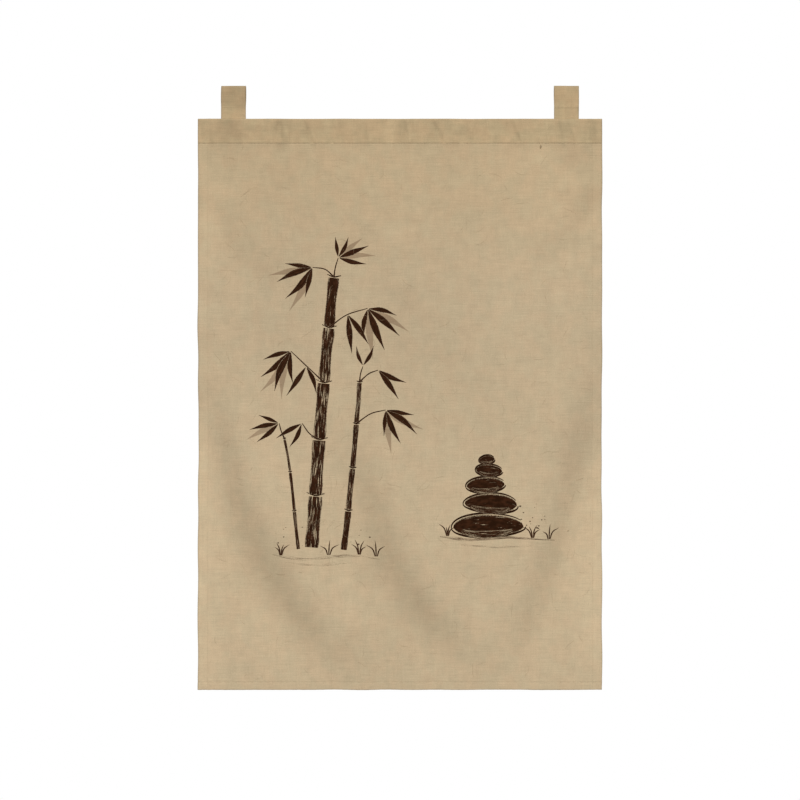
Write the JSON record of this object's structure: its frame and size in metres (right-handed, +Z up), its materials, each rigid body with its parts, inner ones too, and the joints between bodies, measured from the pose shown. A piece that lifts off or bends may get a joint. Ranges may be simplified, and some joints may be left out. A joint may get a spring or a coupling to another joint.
{
  "type": "noren curtain",
  "caption": "Flat cloth doorway curtain with a stitched rod-pocket heading and sewn loop tabs on its top edge.",
  "frame": {"origin": "middle of the heading's top edge, in the plane of the cloth's front face", "axes": "+Z up along the hang of the cloth, +X to the right seen from the front, the printed front faces -Y"},
  "size_m": [0.851, 0.0314, 1.2702],
  "materials": {
    "linen_body": "matt plain-woven cotton-linen, slubby, oat coloured, with a brown ink print",
    "linen_heading": "the same cloth doubled, a little darker",
    "linen_tab": "the same cloth doubled as a strip, a little darker"
  },
  "bodies": {
    "root": {"panel": "linen_body", "heading": "linen_heading", "tab_left": "linen_tab", "tab_right": "linen_tab"}
  },
  "joints": []
}
